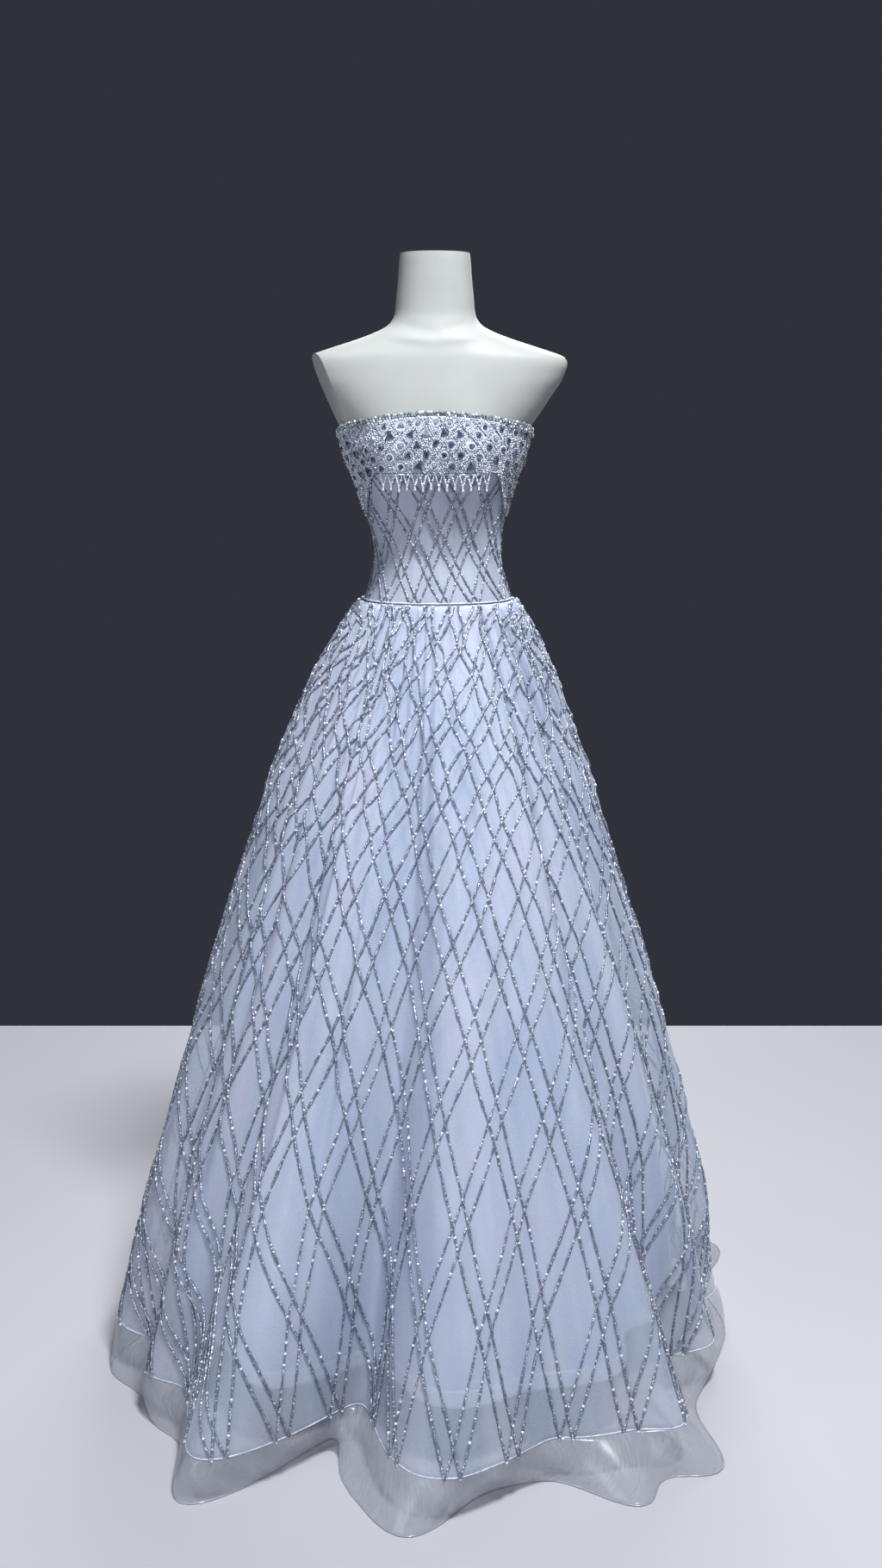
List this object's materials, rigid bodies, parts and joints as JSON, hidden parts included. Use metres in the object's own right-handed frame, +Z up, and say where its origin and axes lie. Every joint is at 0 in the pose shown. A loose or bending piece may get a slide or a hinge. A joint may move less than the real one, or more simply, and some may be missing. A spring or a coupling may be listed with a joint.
{
  "type": "a-line evening gown on a limbless dress form and stand",
  "caption": "Strapless a-line evening gown in periwinkle satin and beaded lattice tulle, with a jewelled bust band and a clear fluted hem, on its limbless dress form.",
  "frame": {"origin": "centre of the stand base's underside, on the floor under the pole", "axes": "+Z up, the gown's front faces -Y, +X towards the right of the view from the front"},
  "size_m": [1.0264, 1.1213, 1.74],
  "materials": {
    "form_white": "matte white skin of the dress form",
    "stand_metal": "satin steel pole and base",
    "bodice_cloth": "periwinkle satin under tulle with a fine beaded lattice",
    "band_beads": "cloth band covered with white beads and dark faceted stones",
    "trim_stones": "narrow edge of small stones and beads",
    "fringe_beads": "white glass beads on thread loops",
    "piping_satin": "satin piping",
    "lining_satin": "soft satin with a low sheen",
    "overlay_tulle": "translucent tulle with a trellis of glittering bead lines",
    "clear_hem": "clear stiff horsehair braid",
    "zip_metal": "small polished zip slider and pull"
  },
  "bodies": {
    "gown": {"form_body": "form_white", "stand_pole": "stand_metal", "stand_base": "stand_metal", "bodice_front": "bodice_cloth", "lining_front": "lining_satin", "overlay_front": "overlay_tulle", "clear_hem_front": "clear_hem", "waist_piping_front": "piping_satin", "jewel_band_front": "band_beads", "neckline_trim_front": "trim_stones", "bodice_back_right": "bodice_cloth", "lining_back_right": "lining_satin", "overlay_back_right": "overlay_tulle", "clear_hem_back_right": "clear_hem", "waist_piping_back_right": "piping_satin", "jewel_band_back_right": "band_beads", "neckline_trim_back_right": "trim_stones", "bodice_back_left": "bodice_cloth", "lining_back_left": "lining_satin", "overlay_back_left": "overlay_tulle", "clear_hem_back_left": "clear_hem", "waist_piping_back_left": "piping_satin", "jewel_band_back_left": "band_beads", "neckline_trim_back_left": "trim_stones", "bead_fringe": "fringe_beads", "zip_slider": "zip_metal"},
    "zip_pull": {"zip_pull_tab": "zip_metal"}
  },
  "joints": [
    {"name": "zip_pull_swing", "type": "hinge", "parent": "gown", "child": "zip_pull", "pos_m": [0, 0.10568, 1.434], "axis": [1, 0, 0], "range_deg": [0, 150]}
  ]
}
